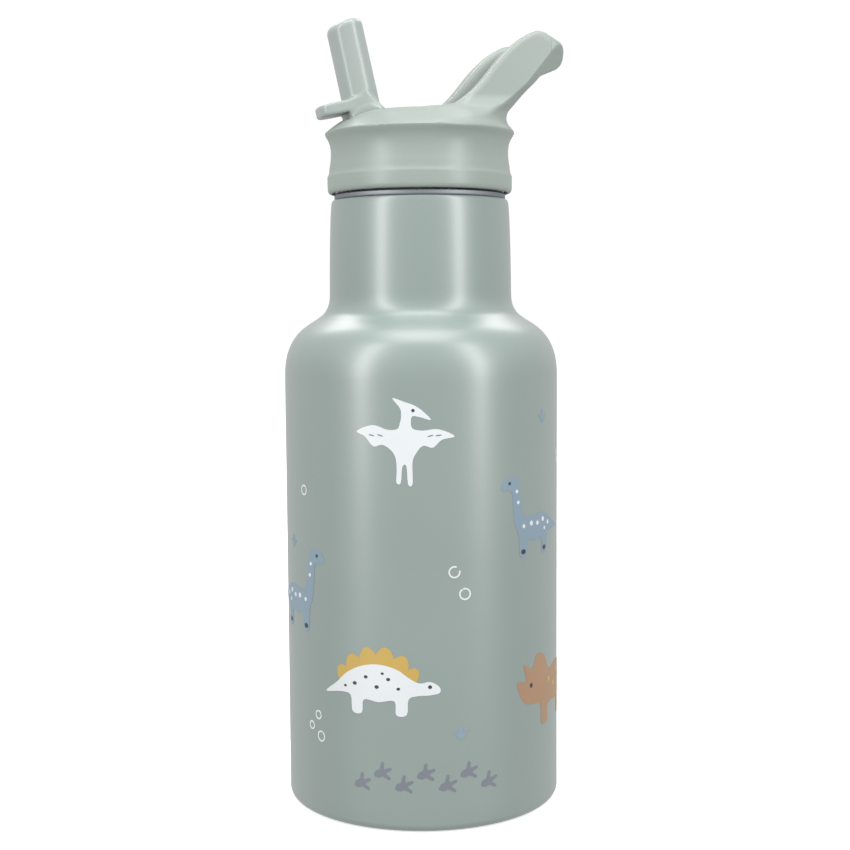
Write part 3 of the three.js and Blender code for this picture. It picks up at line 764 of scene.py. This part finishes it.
def longneck(name, x, y, s, flip, ink="blue", turn=0.0):
    P = Print(name)
    P.add(ink, place(LONGNECK, x, y, s, flip, turn))
    for (a, b, r) in ((-6.2, 3.0, .5), (-3.6, 4.0, .55), (-1.2, 3.4, .5), (1.2, 3.6, .55), (-4.4, 1.9, .4), (3.8, 3.2, .45), (5.6, 8.6, .4), (6.0, 11.0, .4)):
        P.add("white", place(disc(a, b, r, n=12), x, y, s, flip, turn), level=1, smooth=False)
    for (a, b) in ((3.95, -2.4), (-4.25, -2.4)):
        P.add("dark", place(disc(a, b, .75, .55, n=12), x, y, s, flip, turn), level=1, smooth=False)
    P.add("dark", place(disc(8.1, 12.9, .38, n=12), x, y, s, flip, turn), level=1, smooth=False)
    P.done()


def plated(name, x, y, s, flip, turn=0.0):
    P = Print(name)
    P.add("white", place(PLATED, x, y, s, flip, turn), level=1)
    for (a, b, w, h, t) in ((-8.6, 4.1, 1.9, 1.7, .75), (-5.9, 6.4, 2.2, 2.0, .45), (-2.4, 7.9, 2.3, 2.2, .15), (1.4, 8.1, 2.3, 2.2, -.1), (4.9, 6.7, 2.1, 2.0, -.45), (7.6, 4.6, 1.6, 1.5, -.7)):
        leaf = [(-w * .75, -h * .8), (-w * .95, -h * .1), (-w * .5, h * .75), (0, h), (w * .5, h * .75), (w * .95, -h * .1), (w * .75, -h * .8)]
        P.add("mustard", place([(a + px * math.cos(t) - py * math.sin(t), b + px * math.sin(t) + py * math.cos(t)) for px, py in leaf[::-1]], x, y, s, flip, turn), level=0)
    for (a, b, r) in ((-5.6, 2.0, .5), (-2.9, 3.6, .45), (-0.4, 1.6, .5), (2.2, 3.4, .45), (4.4, 1.4, .4), (-8.0, 1.2, .35), (0.9, 4.6, .35)):
        P.add("dark", place(disc(a, b, r, r * .8, n=12), x, y, s, flip, turn), level=2, smooth=False)
    P.add("dark", place(disc(11.2, 1.9, .42, n=12), x, y, s, flip, turn), level=2, smooth=False)
    P.done()


def horned(name, x, y, s, flip, turn=0.0):
    P = Print(name)
    P.add("brown", place(HORNED, x, y, s, flip, turn))
    for (a, b, r) in ((-6.0, 2.2, .6), (-3.0, 3.4, .55), (-0.6, 1.6, .55), (2.0, 2.8, .5)):
        P.add("mustard", place(disc(a, b, r, n=12), x, y, s, flip, turn), level=1, smooth=False)
    P.add("dark", place(disc(8.3, 3.0, .42, n=12), x, y, s, flip, turn), level=1, smooth=False)
    P.done()


def flyer(name, x, y, s, flip, turn=0.0):
    P = Print(name)
    P.add("white", place(FLYER, x, y, s, flip, turn))
    P.add("dark", place(disc(2.0, 7.6, .42, n=12), x, y, s, flip, turn), level=1, smooth=False)
    for (a, b, t) in ((6.2, 1.4, .25), (8.2, 1.5, .1), (-6.2, 1.5, -.3), (-8.4, 1.5, -.2)):
        P.add("grey", place(disc(a, b, .8, .16, n=10, turn=t), x, y, s, flip, turn), level=1, smooth=False)
    P.done()


def ring(P, ink, x, y, r, w=0.42, gap=0.0, start=0.4):
    """A drawn bubble: a ring stroke with a small gap."""
    g = max(gap, 0.08)
    n = 30
    out = []
    for i in range(n + 1):
        a = start + g / 2 + (2 * math.pi - g) * i / n
        out.append((x + (r + w / 2) * math.cos(a), y + (r + w / 2) * math.sin(a)))
    for i in range(n, -1, -1):
        a = start + g / 2 + (2 * math.pi - g) * i / n
        out.append((x + (r - w / 2) * math.cos(a), y + (r - w / 2) * math.sin(a)))
    P.add(ink, out, smooth=False)


# photo-side motifs; u is millimetres round the wall from the line that faces the camera
flyer("flyer_a", -3.9, 94.8, 0.97, False)
plated("plated_a", -10.9, 33.8, 1.12, False)
longneck("longneck_a", 31.8, 69.4, 1.12, True)
longneck("longneck_b", -38.6, 50.6, 1.18, False)
horned("horned_a", 42.4, 28.6, 1.45, True)
# the far side carries the same family of motifs
flyer("flyer_b", 92.0, 84.0, 0.95, True, 0.1)
plated("plated_b", -88.0, 72.0, 1.0, True)
horned("horned_b", 74.0, 58.0, 0.95, False)
longneck("longneck_c", -66.0, 24.0, 1.0, True)
plated("plated_c", 82.0, 24.0, 1.05, True)
flyer("flyer_c", -66.0, 96.0, 0.8, False, -0.15)
horned("horned_c", -96.0, 45.0, 0.9, True)

B = Print("bubbles")
for (x, y, r, g, t) in ((-34.3, 81.6, 1.15, 0.1, 0.6), (7.7, 63.5, 1.3, 0.9, 0.7), (10.3, 58.1, 1.3, 0.1, 2.0), (-29.1, 26.2, 1.0, 0.1, 0.2), (-31.8, 23.1, 0.95, 0.1, 0.4), (-28.1, 21.0, 1.2, 0.1, 1.0), (47.7, 88.6, 1.5, 0.6, 1.2),
                        (64.0, 77.0, 1.4, 0.5, 0.3), (66.8, 72.5, 1.0, 0.1, 0.3), (100.0, 62.0, 1.5, 0.4, 2.0), (-72.0, 58.0, 1.5, 0.6, 0.2), (-75.5, 54.6, 1.0, 0.1, 0.0), (58.0, 12.0, 1.3, 0.3, 1.0), (-103, 22, 1.4, 0.4, 0.5)):
    ring(B, "white", x, y, r, w=0.38, gap=g, start=t)
B.done()
TUFT = [(0, -1.9), (-1.0, -1.0), (-2.2, 0.4), (-1.5, 0.5), (-0.9, 0.1), (-0.7, 1.2), (0.0, 2.1), (0.6, 1.2), (0.8, 0.2), (1.5, 0.6), (2.2, 0.5), (1.1, -1.0)]
T = Print("tufts")
for (x, y) in ((35.6, 99.4), (-41.0, 68.0), (9.1, 24.3), (60.0, 98.0), (-80.0, 36.0), (100.0, 98.0)):
    T.add("blue", place(TUFT, x, y, 0.85))
T.done()

# a plain row of three-toed prints low on the wall
PRINT = [(0.0, -2.2), (-0.9, -1.3), (-1.0, -0.2), (-2.3, 0.9), (-1.9, 1.4), (-0.6, 0.8), (-0.3, 2.4), (0.3, 2.4), (0.6, 0.8), (1.9, 1.4), (2.3, 0.9), (1.0, -0.2), (0.9, -1.3)]
L = Print("footprints")
for i in range(7):
    L.add("grey", place(PRINT, -15.5 + 5.3 * i, 13.2 + (1.5 if i % 2 else -1.5), 1.0, turn=-1.15))
L.done()

# ------------------------------------------------------------------ studio
D, HC, PITCH, FPX = 380.0, 126.95, 0.081548, 1470.7
cam_data = bpy.data.cameras.new("camera")
cam = bpy.data.objects.new("camera", cam_data)
scene.collection.objects.link(cam)
cam_data.sensor_width = 36.0
cam_data.lens = FPX * 36.0 / 850.0
cam_data.shift_x = (425.0 - 421.35) / 850.0
cam_data.clip_start, cam_data.clip_end = 0.01, 50
back = Vector((math.sin(CAM_AZ) * math.cos(PITCH), -math.cos(CAM_AZ) * math.cos(PITCH), math.sin(PITCH)))
cam.location = (D * math.sin(CAM_AZ) * MM, -D * math.cos(CAM_AZ) * MM, HC * MM)
cam.rotation_mode = "QUATERNION"
from mathutils import Quaternion
cam.rotation_quaternion = (-back).to_track_quat("-Z", "Y") @ Quaternion((0, 0, 1), -0.00696)
scene.camera = cam


def stage_mesh(name, verts, faces, mat):
    me = bpy.data.meshes.new(name)
    me.from_pydata(verts, [], faces)
    me.materials.append(mat)
    me.polygons.foreach_set("use_smooth", [True] * len(me.polygons))
    ob = bpy.data.objects.new(name, me)
    scene.collection.objects.link(ob)
    return ob


fm, fnt, fb = new_mat("pale_floor")
fcol = noise(fnt, object_coords(fnt), 3.0, 2.0)
fnt.links.new(ramp(fnt, fcol, [(0.3, (0.90, 0.90, 0.90)), (0.7, (0.92, 0.92, 0.92))]), fb.inputs["Base Color"])
fb.inputs["Roughness"].default_value = 0.9
fb.inputs["Emission Color"].default_value = (1, 1, 1, 1)
fb.inputs["Emission Strength"].default_value = 0.50
rim = [(5.9 * math.cos(2 * math.pi * k / 64), 5.9 * math.sin(2 * math.pi * k / 64), -0.0002) for k in range(64)]
floor = stage_mesh("floor", rim, [tuple(range(64))], fm)
floor.visible_glossy = False
floor.visible_diffuse = False

dm = bpy.data.materials.new("white_surround")
dm.use_nodes = True
dnt = dm.node_tree
for x in list(dnt.nodes):
    dnt.nodes.remove(x)
em = node(dnt, "ShaderNodeEmission", Strength=1.02)
mo = dnt.nodes.new("ShaderNodeOutputMaterial")
dnt.links.new(em.outputs[0], mo.inputs[0])
dv, df = [], []
for i in range(17):
    t = math.pi * i / 16
    for k in range(32):
        a = 2 * math.pi * k / 32
        dv.append((6 * math.sin(t) * math.cos(a), 6 * math.sin(t) * math.sin(a), 6 * math.cos(t)))
for i in range(16):
    for k in range(32):
        m = (k + 1) % 32
        df.append((i * 32 + k, i * 32 + m, (i + 1) * 32 + m, (i + 1) * 32 + k))
dome = stage_mesh("surround", dv, df, dm)
dome.visible_diffuse = dome.visible_glossy = dome.visible_transmission = dome.visible_shadow = dome.visible_volume_scatter = False

world = bpy.data.worlds.new("studio")
scene.world = world
world.use_nodes = True
bg = world.node_tree.nodes["Background"]
bg.inputs["Color"].default_value = (1, 1, 1, 1)
bg.inputs["Strength"].default_value = 0.62


def area_light(name, azimuth, dist, height, w, h, power, aim=0.1):
    ld = bpy.data.lights.new(name, "AREA")
    ld.shape = "RECTANGLE"
    ld.size, ld.size_y = w, h
    ld.energy = power
    ob = bpy.data.objects.new(name, ld)
    scene.collection.objects.link(ob)
    a = CAM_ANGLE + math.radians(azimuth)
    ob.location = (dist * math.cos(a), dist * math.sin(a), height)
    d = Vector((0, 0, aim)) - ob.location
    ob.rotation_mode = "QUATERNION"
    ob.rotation_quaternion = d.to_track_quat("-Z", "Y")
    return ob


area_light("strip_left", -49, 0.9, 0.62, 0.11, 1.25, 7.8, 0.45)
area_light("strip_right", 49, 0.9, 0.62, 0.11, 1.25, 7.8, 0.45)
area_light("overhead", 0, 0.16, 1.15, 0.7, 0.6, 6.4, 0.15)
area_light("back_left", -148, 0.72, 0.86, 0.36, 0.36, 1.7, 0.12)
area_light("back_right", 148, 0.72, 0.86, 0.36, 0.36, 1.5, 0.12)

scene.view_settings.view_transform = "Standard"
scene.view_settings.look = "None"
scene.view_settings.exposure = 0.0
scene.view_settings.gamma = 1.0
